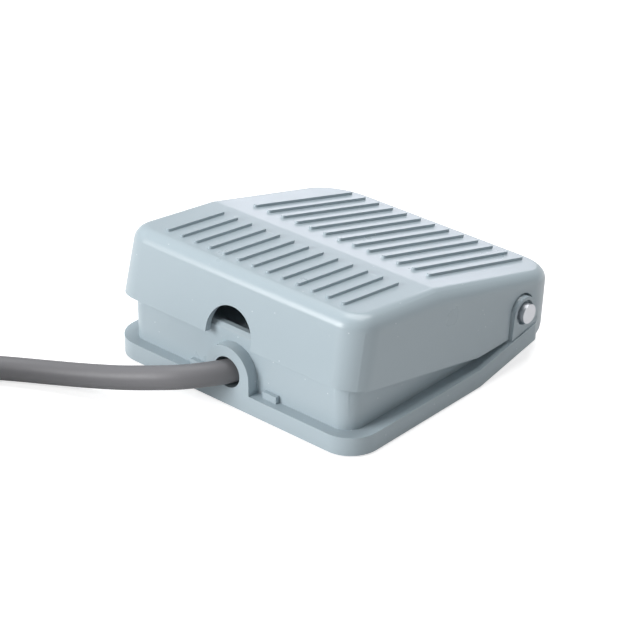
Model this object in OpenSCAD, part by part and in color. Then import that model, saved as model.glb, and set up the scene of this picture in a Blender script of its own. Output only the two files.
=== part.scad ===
// Single-pedal foot switch: a drafted ribbed pedal on a steel cross pin, over an inner
// housing that holds a lever microswitch, on a shallow tray with a cable arch.
// X runs across the pedal, Y from the cable side to the hinge side, Z up.
// The case is drawn from its own underside; on_feet() stands it on its rubber feet.

/* [Base tray] */
// Width of the tray over its band
case_w = 80; // [78:1:86]
// Distance from the origin to the cable-side face
case_front = 41; // [40:0.5:45]
// Distance from the origin to the tray's rear face, under the hinge
case_rear = 29; // [28.8:0.2:31]
// Height of the band round the tray
band_h = 4.8; // [4.4:0.1:5.6]
// Plan radius of the tray's front corners
corner_r = 8; // [6:0.5:10]
// Plan radius of the tray's rear corners
rear_corner_r = 2; // [1:0.5:4]
// Thickness of the tray's floor
floor_t = 2.2; // [1.8:0.1:2.6]
// Distance behind the origin where the underside starts to rise
ramp_y = 5.8; // [2:0.2:8]
// Angle of the rising underside and band
ramp_deg = 10.7; // [9:0.1:12]
// Width of the tray's ledge in front of the inner housing
ledge_front = 3; // [2.6:0.1:3.4]
// Width of the tray's ledge beside the inner housing
ledge_side = 4; // [3.8:0.1:4.4]

/* [Cable arch] */
// Height of the cable hole's centre above the tray's underside
port_z = 9; // [8.6:0.1:9.6]
// Radius of the cable hole
port_r = 4.05; // [3.9:0.05:4.4]
// Outer radius of the arch round the cable hole
arch_r = 6.9; // [6.2:0.1:7]
// Width of each locating block beside the arch
block_w = 4.3; // [3:0.1:6]
// Height of each locating block above the ledge
block_h = 1.8; // [1:0.1:2.2]
// Gap between the arch and each locating block
block_gap = 2.9; // [1:0.1:4]

/* [Inner housing] */
// Wall thickness of the inner housing
wall_t = 2.3; // [2:0.1:2.6]
// Height of the inner housing's rim above the tray's underside
rim_h = 19.2; // [18.6:0.1:19.8]
// Width of the sloped edge round the rim
rim_bevel = 1; // [0.8:0.1:1.2]
// Height of the inner housing at its rear end
heel_h = 17.4; // [16.8:0.1:18]
// Depth of the deck below the rim
deck_drop = 2.6; // [2:0.1:3.2]
// Thickness of the deck
deck_t = 2.2; // [1.8:0.1:2.6]
// Distance behind the origin of the wall between the switch and the hinge
bulkhead_y = 12; // [11.4:0.2:12.6]
// Thickness of that wall
bulkhead_t = 2; // [1.6:0.1:2.4]
// Distance of the housing's screws from the centre line
screw_x = 27; // [25:0.5:28]
// Distance of the front pair of housing screws in front of the origin
screw_front = 28; // [26:0.5:29]
// Distance of the rear pair of housing screws behind the origin
screw_rear = 3; // [1:0.5:5]

/* [Hinge] */
// Diameter of the steel hinge pin
pin_d = 5; // [4.4:0.1:5.4]
// Distance of the pin behind the origin
pin_y = 23.2; // [22.8:0.1:23.6]
// Height of the pin above the tray's underside
pin_z = 13.4; // [13:0.1:13.8]
// Length of pin that stands out of each ear
pin_proud = 1.3; // [0.8:0.1:1.8]
// Outer radius of the ears round the pin
ear_r = 4.1; // [3.9:0.1:4.5]
// Half of the ears' width where they meet the tray
ear_foot = 5.4; // [5:0.1:5.6]
// Distance of the ears' faces inside the tray's side
ear_inset = 0.3; // [0.1:0.1:0.6]
// Radius of the recess round each end of the pin
recess_r = 3.2; // [3:0.1:3.4]
// Depth of that recess
recess_depth = 1.2; // [0.8:0.1:1.6]
// Radial running clearance between the pin and the pedal's lugs
run_clear = 0.05; // [0.02:0.01:0.1]
// Thickness of the clips that keep the pin in place
clip_t = 0.8; // [0.6:0.1:1]
// Outer radius of those clips
clip_r = 4.4; // [3.8:0.1:4.8]

/* [Pedal] */
// Distance of the foot of the pedal's skirt inside the tray's sides
pedal_inset = 1; // [0.6:0.1:1.2]
// Distance from the origin to the foot of the skirt's front, with the pedal level
pedal_front = 40.4; // [40:0.1:41]
// Distance from the origin to the foot of the skirt's rear, with the pedal level
pedal_rear = 41; // [40:0.1:42]
// Plan radius of the pedal's front corners
toe_corner_r = 7.5; // [6.5:0.5:9]
// Plan radius of the pedal's rear corners
heel_corner_r = 12.5; // [10:0.5:14]
// Radius of the top edge at the front and sides
toe_fillet = 4; // [3:0.2:4.6]
// Radius of the top edge at the rear
heel_fillet = 3; // [2.4:0.2:4]
// Draft of the skirt's walls
draft_deg = 1.7; // [1:0.1:2.2]
// Thickness of the skirt
skirt_t = 1.8; // [1.6:0.1:2]
// Thickness of the pedal's top
top_t = 2; // [1.8:0.1:2.4]
// Distance of the crease in the top in front of the origin, with the pedal level
crease_y = 10.1; // [8:0.1:14]
// Height of the crease above the tray's underside, with the pedal level
crease_z = 24.6; // [24.2:0.1:26]
// Fall of the top from the crease to the front, with the pedal level
toe_fall_deg = 3.8; // [3:0.1:4.4]
// Fall of the top from the crease to the rear, with the pedal level
heel_fall_deg = 3.9; // [3:0.1:4.4]
// Angle from the level pedal to its rest
tilt_deg = 10.7; // [10.2:0.1:11]
// Travel of the pedal from its rest
travel_deg = 4; // [3:0.5:4]
// Height of the skirt's front edge above the tray's underside at rest
skirt_front_z = 17.3; // [17:0.1:18]
// Distance behind the origin where the skirt's edge turns level
skirt_turn_y = 5.8; // [4:0.2:8]
// Height of the level part of the skirt's edge at rest
skirt_level_z = 7.75; // [7.7:0.05:8.2]
// Radius of the half-round notch over the cable arch
notch_r = 7.3; // [7.2:0.1:8]
// Height of the top of that notch above the tray's underside at rest
notch_top_z = 25.7; // [25:0.1:26.4]
// Gap round the ears in the pedal's sides
ear_gap = 0.6; // [0.55:0.05:0.8]
// Gap between the tray's rear face and the pedal's apron
apron_gap = 0.4; // [0.3:0.1:0.8]

/* [Pedal ribs] */
// Number of ribs in each row
rib_count = 13; // [11:1:14]
// Spacing of the ribs
rib_pitch = 4.7; // [4.4:0.1:4.9]
// Width of a rib
rib_w = 1.2; // [0.8:0.1:1.6]
// Height of a rib
rib_h = 0.7; // [0.4:0.1:1]
// Length of the ribs in the front row
toe_rib_len = 19.9; // [17:0.1:21]
// Length of the ribs in the rear row
heel_rib_len = 38.6; // [35:0.1:39]
// Distance of the front row's rear ends in front of the crease
toe_rib_gap = 4.7; // [4:0.1:6]
// Distance of the rear row's front ends behind the crease
heel_rib_gap = 6.6; // [6:0.1:8]

/* [Pedal underside] */
// Distance from the centre line to each hinge lug
lug_x = 22; // [20:0.5:24]
// Thickness of each hinge lug
lug_t = 4; // [3:0.5:5]
// Radius of each hinge lug round the pin
lug_r = 4.5; // [4.2:0.1:4.6]
// Distance of the travel stops from the centre line
stop_x = 24; // [20:0.5:26]
// Distance of the travel stops in front of the origin
stop_y = 19; // [17:0.5:21]
// Radius of each travel stop
stop_r = 2.2; // [1.8:0.1:2.6]

/* [Return spring] */
// Distance of the spring in front of the origin
spring_y = 20; // [19.5:0.5:21]
// Mean radius of the spring
spring_r = 4.6; // [4.2:0.1:5]
// Diameter of the spring's wire
spring_wire = 1; // [0.8:0.1:1.1]
// Turns in the spring
spring_turns = 7; // [6:0.5:8]
// Height of the ring round the spring's foot
spring_ring_h = 2; // [1.4:0.2:2.4]

/* [Microswitch] */
// Length of the switch's case
switch_l = 27.8; // [27:0.2:28.4]
// Height of the switch's case
switch_h = 15.9; // [15.5:0.1:16.3]
// Thickness of the switch's case with its cover
switch_t = 10.3; // [9.9:0.1:10.7]
// Distance of the switch in front of the origin
switch_y = 3; // [2.6:0.1:3.4]
// Wall thickness of the switch's case
switch_wall = 1.4; // [1.2:0.1:1.6]
// Radius of the switch's fixing holes
switch_hole_r = 1.55; // [1.5:0.05:1.65]
// Distance of each fixing hole inside the end of the switch's case
switch_hole_in = 2.8; // [2.6:0.1:3]
// Height of the lower fixing hole above the switch's foot
switch_hole_z = 2.8; // [2.6:0.1:3]
// Height from the lower fixing hole to the upper one
switch_hole_rise = 10.3; // [10:0.1:10.6]
// Distance of the lever's pivot inside the end of the switch's case
lever_pivot_in = 4; // [3.6:0.1:4.4]
// Height of the lever's pivot above the switch's case
lever_pivot_h = 1.3; // [1.2:0.05:1.5]
// Angle of the lever above level at rest
lever_deg = 6.5; // [6.3:0.1:7]
// Length of the lever from its pivot
lever_l = 23; // [20:0.5:24]
// Width of the lever
lever_w = 4.6; // [4:0.2:5]
// Thickness of the lever
lever_t = 0.4; // [0.3:0.05:0.5]
// Distance from the lever's pivot to the pedal's striker
striker_arm = 16.5; // [16:0.5:17]
// Distance from the lever's pivot to the switch's button
button_arm = 6.5; // [6.3:0.1:6.7]
// Radius of the switch's button
button_r = 1.3; // [1.1:0.1:1.5]
// Width of the terminals
tab_w = 4.75; // [4:0.25:5]
// Thickness of the terminals
tab_t = 0.6; // [0.5:0.1:0.8]
// Length of the terminals outside the case
tab_l = 6.5; // [5.5:0.5:7]

/* [Cable] */
// Diameter of the cable's jacket
cable_d = 6; // [5.8:0.1:6]
// Diameter of each insulated core
core_d = 2; // [1.8:0.1:2.2]
// Length of the cable clamp along the cable
clamp_l = 6; // [5:0.5:7]
// Thickness of the clamp over the cable
clamp_t = 1.9; // [1.6:0.1:2]

/* [Feet and screws] */
// Height that the front feet stand out of the tray
foot_proud = 0.4; // [0.3:0.1:0.8]
// Radius of the rubber feet
foot_r = 4.5; // [4:0.25:5]
// Depth of the front feet's recesses
foot_seat = 1; // [0.8:0.1:1.2]
// Distance of the feet from the centre line
foot_x = 29; // [28:0.5:30]
// Distance of the front feet in front of the origin
foot_front = 19; // [17:0.5:20]
// Distance of the rear feet behind the origin
foot_rear = 20; // [18:0.5:20.5]
// Radius of the screws' shanks
shank_r = 1.5; // [1.3:0.1:1.5]
// Radius of the screws' heads
head_r = 2.8; // [2.6:0.1:3]
// Height of the screws' heads
head_h = 1.6; // [1.4:0.1:1.8]

/* [Hidden] */
$fn = 48;
hull_fn = 32;
eps = 0.01;
touch = 0.05;        // gap between pieces that lie against each other
far = 200;           // longer than the whole part

// Tray and housing
ramp_k = tan(ramp_deg);
wall_x = case_w / 2 - ledge_side;           // outer face of the housing's side walls
wall_y = -case_front + ledge_front;         // outer face of the housing's front wall
in_x = wall_x - wall_t;
in_y = wall_y + wall_t;
wall_corner = corner_r - ledge_side + 0.8;   // plan radius of the housing's front corners
wall_end = case_rear - 0.8;                 // rear end of the housing's side walls
deck_z = rim_h - deck_drop;                 // upper face of the deck
screw_seat = floor_t + 1.2;                 // under the heads of the housing screws
screw_post = screw_seat + 1.6;              // top of the tray's screw posts
screws = [for (sx = [-1, 1], y = [-screw_front, screw_rear]) [sx * screw_x, y]];
ear_x = case_w / 2 - ear_inset;
function ramp(y) = max(0, (y - ramp_y) * ramp_k);

// Switch
switch_z = floor_t;
pivot_x = -switch_l / 2 + lever_pivot_in;
switch_hole_x = switch_l / 2 - switch_hole_in;
pivot_z = switch_z + switch_h + lever_pivot_h;
striker_x = pivot_x + striker_arm;
button_x = pivot_x + button_arm;
switch_front_y = -switch_y - switch_t / 2;
switch_rear_y = -switch_y + switch_t / 2;
cover_t = 1.2;
// Centre of the button's domed top, under the lever, from the pivot's height
dome_h = (button_arm * sin(lever_deg) - lever_t / 2 - button_r - touch) / cos(lever_deg);
blade_x = pivot_x - 0.6;
blade_z = switch_z + 8.45;
contact_x = switch_l / 2 - 4.9;
blade_l = contact_x - blade_x + 1;
// Ratio of the lever's turn to the pedal's, from the two arms over the striker
lever_ratio = (pin_y + switch_y) / striker_arm;
lever_end = lever_deg - lever_ratio * travel_deg;
// Stroke of the button, and the blade's turn and drop under it
button_drop = (button_arm * (sin(lever_deg) - sin(lever_end))
  - dome_h * (cos(lever_deg) - cos(lever_end))) / cos(lever_end);
blade_turn = atan(button_drop / (button_x - blade_x));
blade_drop = (contact_x - blade_x) * tan(blade_turn);
window = [[-switch_l / 2 - 1, switch_front_y - 2.6], [switch_l / 2 + 1, switch_rear_y + 5.6]];

// Pedal
pedal_w = case_w - 2 * pedal_inset;
function turned(p, a) = [
  pin_y + (p[0] - pin_y) * cos(a) - (p[1] - pin_z) * sin(a),
  pin_z + (p[0] - pin_y) * sin(a) + (p[1] - pin_z) * cos(a)
];
crease = turned([-crease_y, crease_z], -tilt_deg);
function top_z(y) = crease[1] - (y - crease[0])
  * (y < crease[0] ? tan(tilt_deg - toe_fall_deg) : tan(tilt_deg + heel_fall_deg));
function under_z(y) = top_z(y) - top_t;

// Cable
cable_r = cable_d / 2;
clamp_x = 3;
clamp_y = -26;
clamp_screw_x = 6.4;
inside_points = [
  [-0.1, -39.5, 9.2], [0.8, -37.3, 9.2], [1.7, -35, 9.2], [2.6, -31.5, 9.2],
  [3, -28, 9.2], [3, -24, 9.2], [3, -21, 9.2]
];
lead_points = [
  [-0.1, -39.5, 9.2], [-1.2, -41.9, 9.2], [-3.5, -45.2, 9.1], [-6.9, -48.7, 8.7], [-11.1, -51.3, 8],
  [-20.4, -55, 6], [-29.8, -58.4, 4.4], [-39, -62.2, 3.4], [-47.5, -66.6, 3],
  [-54.3, -71.2, 3], [-58.8, -75.7, 3], [-62.4, -80.8, 3], [-65, -86.5, 3],
  [-69.7, -99.3, 3], [-73.7, -111.6, 3]
];
coil_x = -44.1;
coil_y = -122.4;
coil_out = 31.5;
coil_in = 25.4;
coil_h = 18;
tail_line = [for (i = [0 : 12]) let (a = 26.8 + 133.2 * i / 12, r = coil_in - 5.8 * i / 12)
  [coil_x + r * cos(a), coil_y + r * sin(a), cable_r]];
core_len = 26;
strand_len = 6;
tie_deg = 330;

module on_feet() translate([0, 0, foot_proud]) children();

// A prism across the whole part from an outline in Y and Z
module across(outline, half = far)
  rotate([90, 0, 90]) translate([0, 0, -half]) linear_extrude(2 * half) polygon(outline);

module plan_box(x, y0, y1, r0, r1) {
  // outline in plan with front corner radius r0 and rear corner radius r1
  union() {
    translate([-x + r0, y0]) square([2 * (x - r0), y1 - y0]);
    translate([-x, y0 + r0]) square([2 * x, y1 - y0 - r0 - r1]);
    translate([-x + r1, y1 - 2 * r1]) square([2 * (x - r1), 2 * r1]);
    for (sx = [-1, 1]) {
      translate([sx * (x - r0), y0 + r0]) circle(r0);
      translate([sx * (x - r1), y1 - r1]) circle(r1);
    }
  }
}

// A rod along Y
module rod_y(r, y0, y1) translate([0, y0, 0]) rotate([-90, 0, 0]) cylinder(r = r, h = y1 - y0);

// A rod along X
module rod_x(r, x0, x1) translate([x0, 0, 0]) rotate([0, 90, 0]) cylinder(r = r, h = x1 - x0);

module ear_shape(grow, foot_z) {
  // the ear's outline in Y and Z
  union() {
    translate([pin_y, pin_z]) circle(ear_r + grow);
    polygon([
      [pin_y - ear_foot - grow, foot_z], [pin_y + ear_foot + grow, foot_z],
      [pin_y + ear_r + grow, pin_z], [pin_y - ear_r - grow, pin_z]
    ]);
  }
}

module ears(grow, x0, x1, foot_z)
  for (sx = [0, 1]) mirror([sx, 0, 0])
    translate([x0, 0, 0]) rotate([90, 0, 90]) linear_extrude(x1 - x0) ear_shape(grow, foot_z);

module base_tray() on_feet() color([0.62, 0.66, 0.70]) {
  difference() {
    union() {
      difference() {
        intersection() {
          linear_extrude(far) plan_box(case_w / 2, -case_front, case_rear, corner_r, rear_corner_r);
          across([
            [-case_front - 1, 0], [ramp_y, 0], [case_rear + 1, ramp(case_rear + 1)],
            [case_rear + 1, band_h + ramp(case_rear + 1)], [ramp_y, band_h],
            [-case_front - 1, band_h]
          ]);
        }
        // hollow above the floor
        intersection() {
          linear_extrude(far) plan_box(in_x, in_y, case_rear - wall_t, wall_corner - wall_t, 1);
          across([
            [-case_front, floor_t], [ramp_y, floor_t], [case_rear, floor_t + ramp(case_rear)],
            [case_rear, far], [-case_front, far]
          ]);
        }
      }
      // arch round the cable, and the locating blocks beside it
      translate([0, -case_front, port_z]) intersection() {
        union() {
          rod_y(arch_r, 0, ledge_front);
          translate([-arch_r, 0, -port_z]) cube([2 * arch_r, ledge_front, port_z]);
        }
        translate([-far, 0, -port_z]) cube([2 * far, ledge_front, far]);
      }
      for (sx = [0, 1]) mirror([sx, 0, 0])
        translate([arch_r + block_gap, wall_y - 1.2, band_h - 1]) cube([block_w, 1.2, block_h + 1]);
      // posts for the housing screws
      for (p = screws) translate([p[0], p[1], 0]) cylinder(r = head_r + 1.4, h = screw_post);
      // cradle under the cable clamp
      translate([clamp_x - clamp_screw_x - 3, clamp_y - clamp_l / 2, floor_t - 1])
        cube([2 * clamp_screw_x + 6, clamp_l, port_z - 0.2 - 0.5 - floor_t + 1]);
      // wall behind the microswitch, with its screw bosses
      translate([-switch_l / 2, switch_rear_y + touch, floor_t - 1])
        cube([switch_l, 2.4, switch_hole_z + switch_hole_rise + 3.2]);
      for (s = [-1, 1]) translate([s * switch_hole_x, 0,
          switch_z + switch_hole_z + (s > 0 ? switch_hole_rise : 0)])
        rod_y(2.7, switch_rear_y + touch, switch_rear_y + 5);
      // seats of the rear feet inside the sloping floor
      for (sx = [-1, 1]) translate([sx * foot_x, foot_rear, ramp(foot_rear)])
        cylinder(r = foot_r + 1.5, h = floor_t + 1.4);
    }
    // cable hole, and the cable's groove in the cradle
    translate([0, 0, port_z]) rod_y(port_r, -case_front - 1, wall_y + 1);
    translate([clamp_x, 0, port_z - 0.2]) rod_y(cable_r + touch, clamp_y - 5, clamp_y + 5);
    for (s = [-1, 1]) translate([clamp_x + s * clamp_screw_x, clamp_y, floor_t + 1])
      cylinder(r = shank_r + touch, h = far);
    for (p = screws) translate([p[0], p[1], -1]) {
      cylinder(r = shank_r + 0.3, h = far);
      cylinder(r = head_r + 0.3, h = screw_seat + 1);
    }
    for (s = [-1, 1]) translate([s * switch_hole_x, 0,
        switch_z + switch_hole_z + (s > 0 ? switch_hole_rise : 0)])
      rod_y(shank_r + touch, switch_rear_y - 1, switch_rear_y + 4);
    for (sx = [-1, 1]) {
      translate([sx * foot_x, -foot_front, -1]) cylinder(r = foot_r + touch, h = foot_seat + 1);
      translate([sx * foot_x, foot_rear, -1])
        cylinder(r = foot_r + touch, h = ramp(foot_rear) + foot_seat + 1);
    }
  }
}

module inner_housing() on_feet() color([0.64, 0.68, 0.72]) {
  foot_line = [[wall_end, band_h + ramp(wall_end)], [ramp_y, band_h], [wall_y - 1, band_h]];
  difference() {
    union() {
      difference() {
        // walls
        intersection() {
          linear_extrude(far) plan_box(wall_x, wall_y, wall_end + 5, wall_corner, 1);
          across(concat([[wall_y - 1, rim_h], [bulkhead_y + bulkhead_t, rim_h], [wall_end, heel_h]],
            foot_line));
        }
        linear_extrude(far) plan_box(in_x, in_y, wall_end + 10, wall_corner - wall_t, 1);
        // sloped edge round the rim
        difference() {
          translate([-far, -far, rim_h - rim_bevel]) cube([2 * far, far + bulkhead_y, far]);
          rim_cap();
        }
      }
      // deck and bulkhead
      translate([-in_x - 1, in_y - 1, deck_z - deck_t])
        cube([2 * in_x + 2, bulkhead_y + bulkhead_t - in_y + 1, deck_t]);
      intersection() {
        union() {
          translate([-in_x + touch, bulkhead_y, 0])
            cube([2 * (in_x - touch), bulkhead_t, rim_h - 1]);
          translate([-in_x - 0.5, bulkhead_y, band_h + ramp(far / 10)])
            cube([2 * in_x + 1, bulkhead_t, rim_h - 1 - band_h - ramp(far / 10)]);
        }
        across([[0, floor_t + 0.3], [ramp_y, floor_t + 0.3], [far, floor_t + 0.3 + ramp(far)],
          [far, far], [0, far]]);
      }
      // ears
      intersection() {
        ears(0, in_x, ear_x, band_h);
        across(concat([[wall_y, far], [wall_end + ear_r, far],
          [wall_end + ear_r, band_h + ramp(wall_end + ear_r)]], [foot_line[1], foot_line[2]]));
      }
      // posts down to the tray, and the ring round the spring's foot
      for (p = screws) translate([p[0], p[1], screw_post])
        cylinder(r = head_r + 1, h = deck_z - deck_t / 2 - screw_post);
      translate([0, -spring_y, deck_z - 1]) cylinder(r = spring_r + 2.4, h = spring_ring_h + 1);
    }
    translate([0, -spring_y, deck_z])
      cylinder(r = spring_r + spring_wire / 2 + 0.3, h = spring_ring_h + 1);
    for (p = screws) translate([p[0], p[1], 0])
      cylinder(r = shank_r + touch, h = deck_z - 1);
    // window over the microswitch
    translate([window[0][0], window[0][1], deck_z - deck_t - 1])
      cube([window[1][0] - window[0][0], window[1][1] - window[0][1], deck_t + 2]);
    // opening for the cable in the front wall
    translate([1.5, 0, port_z - 0.2]) rod_y(5.2, wall_y - 1, in_y + 1);
    translate([1.5 - 5.2, wall_y - 1, 0]) cube([10.4, wall_t + 2, port_z - 0.2]);
    // bores for the pin
    translate([0, pin_y, pin_z]) {
      rod_x(pin_d / 2 + touch / 5, -far, far);
      for (sx = [0, 1]) mirror([sx, 0, 0]) rod_x(recess_r, ear_x - recess_depth, far);
    }
  }
}

// The space inside the rim's sloped edge
module rim_cap() {
  hull() {
    translate([0, 0, rim_h - rim_bevel - eps]) linear_extrude(eps)
      plan_box(wall_x, wall_y, wall_end + 5, wall_corner, 1, $fn = hull_fn);
    translate([0, 0, rim_h]) linear_extrude(eps)
      plan_box(wall_x - rim_bevel, wall_y + rim_bevel, wall_end + 5,
        wall_corner - rim_bevel, 1, $fn = hull_fn);
  }
}

module screw(length) {
  // a pan-head screw, its head's seat at the origin and its shank up
  union() {
    cylinder(r = shank_r, h = length);
    difference() {
      translate([0, 0, -head_h]) cylinder(r = head_r, h = head_h);
      for (a = [0, 90]) rotate([0, 0, a])
        translate([-head_r * 0.6, -0.35, -head_h - 1]) cube([head_r * 1.2, 0.7, 1.9]);
    }
  }
}

module base_screws() on_feet() color([0.72, 0.73, 0.75])
  for (p = screws) translate([p[0], p[1], screw_seat]) screw(9);

module front_feet() color([0.12, 0.12, 0.13])
  for (sx = [-1, 1]) translate([sx * foot_x, -foot_front, 0])
    cylinder(r = foot_r, h = foot_proud + foot_seat - touch);

module rear_feet() color([0.12, 0.12, 0.13])
  for (sx = [-1, 1]) translate([sx * foot_x, foot_rear, 0])
    cylinder(r = foot_r, h = foot_proud + ramp(foot_rear) + foot_seat - touch);

module hinge_pin() on_feet() color([0.80, 0.81, 0.83]) {
  half = ear_x + pin_proud;
  groove = in_x - touch - clip_t;
  translate([0, pin_y, pin_z]) difference() {
    rod_x(pin_d / 2, -half, half);
    for (sx = [0, 1]) mirror([sx, 0, 0]) difference() {
      rod_x(pin_d / 2 + 1, groove - touch, groove + clip_t + touch);
      rod_x(pin_d / 2 - 0.6, groove - 1, groove + clip_t + 1);
    }
  }
}

module pin_clips() on_feet() color([0.30, 0.30, 0.32])
  translate([0, pin_y, pin_z]) for (sx = [0, 1]) mirror([sx, 0, 0]) {
    x0 = in_x - touch - clip_t;
    difference() {
      rod_x(clip_r, x0, x0 + clip_t);
      rod_x(pin_d / 2 - 0.6 + touch, x0 - 1, x0 + clip_t + 1);
      // mouth of the clip
      translate([x0 - 1, -pin_d / 2 + 0.7, -far]) cube([clip_t + 2, pin_d - 1.4, far]);
    }
  }

module puck(r, fillet, h) {
  // a disc with a rounded upper edge, its top at the origin's level
  translate([0, 0, -h]) rotate_extrude($fn = hull_fn) {
    square([r - fillet, h]);
    square([r, h - fillet]);
    translate([r - fillet, h - fillet]) intersection() {
      circle(fillet, $fn = hull_fn);
      square(fillet);
    }
  }
}

module pedal_blank(side, top) {
  // the pedal's closed body, drawn level; side and top are taken off for the inside
  low = -6;
  lean = tan(draft_deg);
  flare = (skirt_level_z - low) * lean;
  spread = (crease_z - low) * lean;
  x = pedal_w / 2 - side + flare;
  xt = x - spread;
  y0 = -pedal_front + side - flare;
  y1 = pedal_rear - side + flare;
  yf = y0 + spread;
  yr = y1 - spread;
  rf = toe_corner_r - side;
  rr = heel_corner_r - side;
  ff = max(toe_fillet - side, 1);
  fr = max(heel_fillet - side, 1);
  zc = crease_z - top;
  hull() for (sx = [-1, 1]) {
    translate([sx * (xt - rf), yf + rf, zc - (yf + rf + crease_y) * -tan(toe_fall_deg)])
      rotate([toe_fall_deg, 0, 0]) puck(rf, ff, ff + 1);
    translate([sx * (xt - rr), yr - rr, zc - (yr - rr + crease_y) * tan(heel_fall_deg)])
      rotate([-heel_fall_deg, 0, 0]) puck(rr, fr, fr + 1);
    translate([sx * (xt - ff), -crease_y, zc - ff]) sphere(ff, $fn = hull_fn);
    translate([sx * (x - rf), y0 + rf, low]) cylinder(r = rf, h = 1, $fn = hull_fn);
    translate([sx * (x - rr), y1 - rr, low]) cylinder(r = rr, h = 1, $fn = hull_fn);
  }
}

// Turns a level drawing of the pedal to its rest
module at_rest() translate([0, pin_y, pin_z]) rotate([-tilt_deg, 0, 0])
  translate([0, -pin_y, -pin_z]) children();

module rib(x, y0, y1, slope, z_at_crease) {
  translate([x, -crease_y, z_at_crease]) rotate([slope, 0, 0])
    translate([0, 0, -top_t / 2]) linear_extrude(top_t / 2 + rib_h) {
      translate([-rib_w / 2, y0]) square([rib_w, y1 - y0]);
      for (y = [y0, y1]) translate([0, y]) circle(rib_w / 2);
    }
}

module pedal() on_feet() color([0.66, 0.70, 0.74]) {
  foot = band_h + ramp(case_rear) + apron_gap;
  difference() {
    union() {
      difference() {
        at_rest() pedal_blank(0, 0);
        at_rest() pedal_blank(skirt_t, top_t);
      }
      at_rest() for (i = [0 : rib_count - 1]) {
        x = (i - (rib_count - 1) / 2) * rib_pitch;
        rib(x, -toe_rib_gap - toe_rib_len + rib_w / 2, -toe_rib_gap - rib_w / 2,
          toe_fall_deg, crease_z);
        rib(x, heel_rib_gap + rib_w / 2, heel_rib_gap + heel_rib_len - rib_w / 2,
          -heel_fall_deg, crease_z);
      }
      lugs();
      // travel stops, the spring's centring stud and the switch's striker
      for (sx = [-1, 1]) {
        land = deck_z + (pin_y + stop_y + stop_r) * sin(travel_deg) + touch;
        translate([sx * stop_x, -stop_y, land]) cylinder(r = stop_r, h = under_z(-stop_y) + 1 - land);
      }
      translate([0, -spring_y, under_z(-spring_y) - 4])
        cylinder(r = spring_r - spring_wire / 2 - 0.4, h = 5);
      striker();
    }
    // below the skirt's edge
    across([
      [-far, -far], [-far, skirt_front_z], [-pedal_front - 0.4, skirt_front_z],
      [skirt_turn_y, skirt_level_z], [pin_y - ear_foot, skirt_level_z],
      [pin_y, skirt_level_z + 1],
      [case_rear + apron_gap, foot], [case_rear + apron_gap, ramp(case_rear + apron_gap)],
      [far, ramp(far)], [far, -far]
    ]);
    // slots round the ears
    ears(ear_gap, pedal_w / 2 - 6, case_w, band_h);
    // notch over the cable arch
    translate([0, -far / 2, notch_top_z - notch_r]) rod_y(notch_r, 0, far / 2 - 30);
    translate([-notch_r, -far / 2, 0]) cube([2 * notch_r, far / 2 - 30, notch_top_z - notch_r]);
    // running bore on the pin
    translate([0, pin_y, pin_z]) rod_x(pin_d / 2 + run_clear, -in_x + 1, in_x - 1);
  }
}

module lugs() {
  // plates down to the pin, with a toe that rests on the bulkhead
  toe = bulkhead_y + bulkhead_t + touch;
  for (sx = [0, 1]) mirror([sx, 0, 0]) translate([lug_x, 0, 0]) {
    rotate([90, 0, 90]) linear_extrude(lug_t) {
      translate([pin_y, pin_z]) circle(lug_r);
      polygon([
        [pin_y - lug_r, pin_z], [pin_y + lug_r, pin_z],
        [pin_y + lug_r, under_z(pin_y + lug_r) + 1], [pin_y - lug_r, under_z(pin_y - lug_r) + 1]
      ]);
      polygon([
        [toe, pin_z - lug_r], [pin_y, pin_z - lug_r], [pin_y, pin_z - 1], [toe, pin_z - 2]
      ]);
    }
  }
}

module striker() {
  // post over the switch's lever, its lower end a rounded ridge along Y
  tip = pivot_z + striker_arm * tan(lever_deg) + lever_t / 2 / cos(lever_deg) + 0.15;
  r = 1.5;
  translate([striker_x, -switch_y, 0]) {
    translate([0, 0, tip + r * (1 / cos(lever_deg))]) {
      rod_y(r, -2, 2);
      translate([-r, -2, 0]) cube([2 * r, 4, under_z(-switch_y) + 1 - tip - r]);
    }
  }
}

spring_z0 = foot_proud + deck_z + spring_wire / 2 + touch;
spring_z1 = foot_proud + under_z(-spring_y) - spring_wire / 2 - touch - 0.15 * spring_r;
spring_rise = (spring_z1 - spring_z0 - 2 * spring_wire) / (spring_turns - 2);
// Height of the wire after t turns, closed up at both ends
function wire_z(t) = t < 1 ? spring_z0 + t * spring_wire
  : t > spring_turns - 1 ? spring_z1 - (spring_turns - t) * spring_wire
  : spring_z0 + spring_wire + (t - 1) * spring_rise;

module return_spring() color([0.70, 0.71, 0.73]) {
  steps = 14 * spring_turns;
  line = [for (i = [0 : steps]) let (t = i * spring_turns / steps)
    [spring_r * cos(360 * t), -spring_y + spring_r * sin(360 * t), wire_z(t)]];
  sweep(line, spring_wire / 2, 8);
}

module switch_box(x, y0, y1, z0, z1)
  translate([-x, y0, z0]) cube([2 * x, y1 - y0, z1 - z0]);

module switch_holes(r) for (s = [-1, 1])
  translate([s * switch_hole_x, 0, switch_z + switch_hole_z + (s > 0 ? switch_hole_rise : 0)])
    rod_y(r, -far, far);

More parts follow.
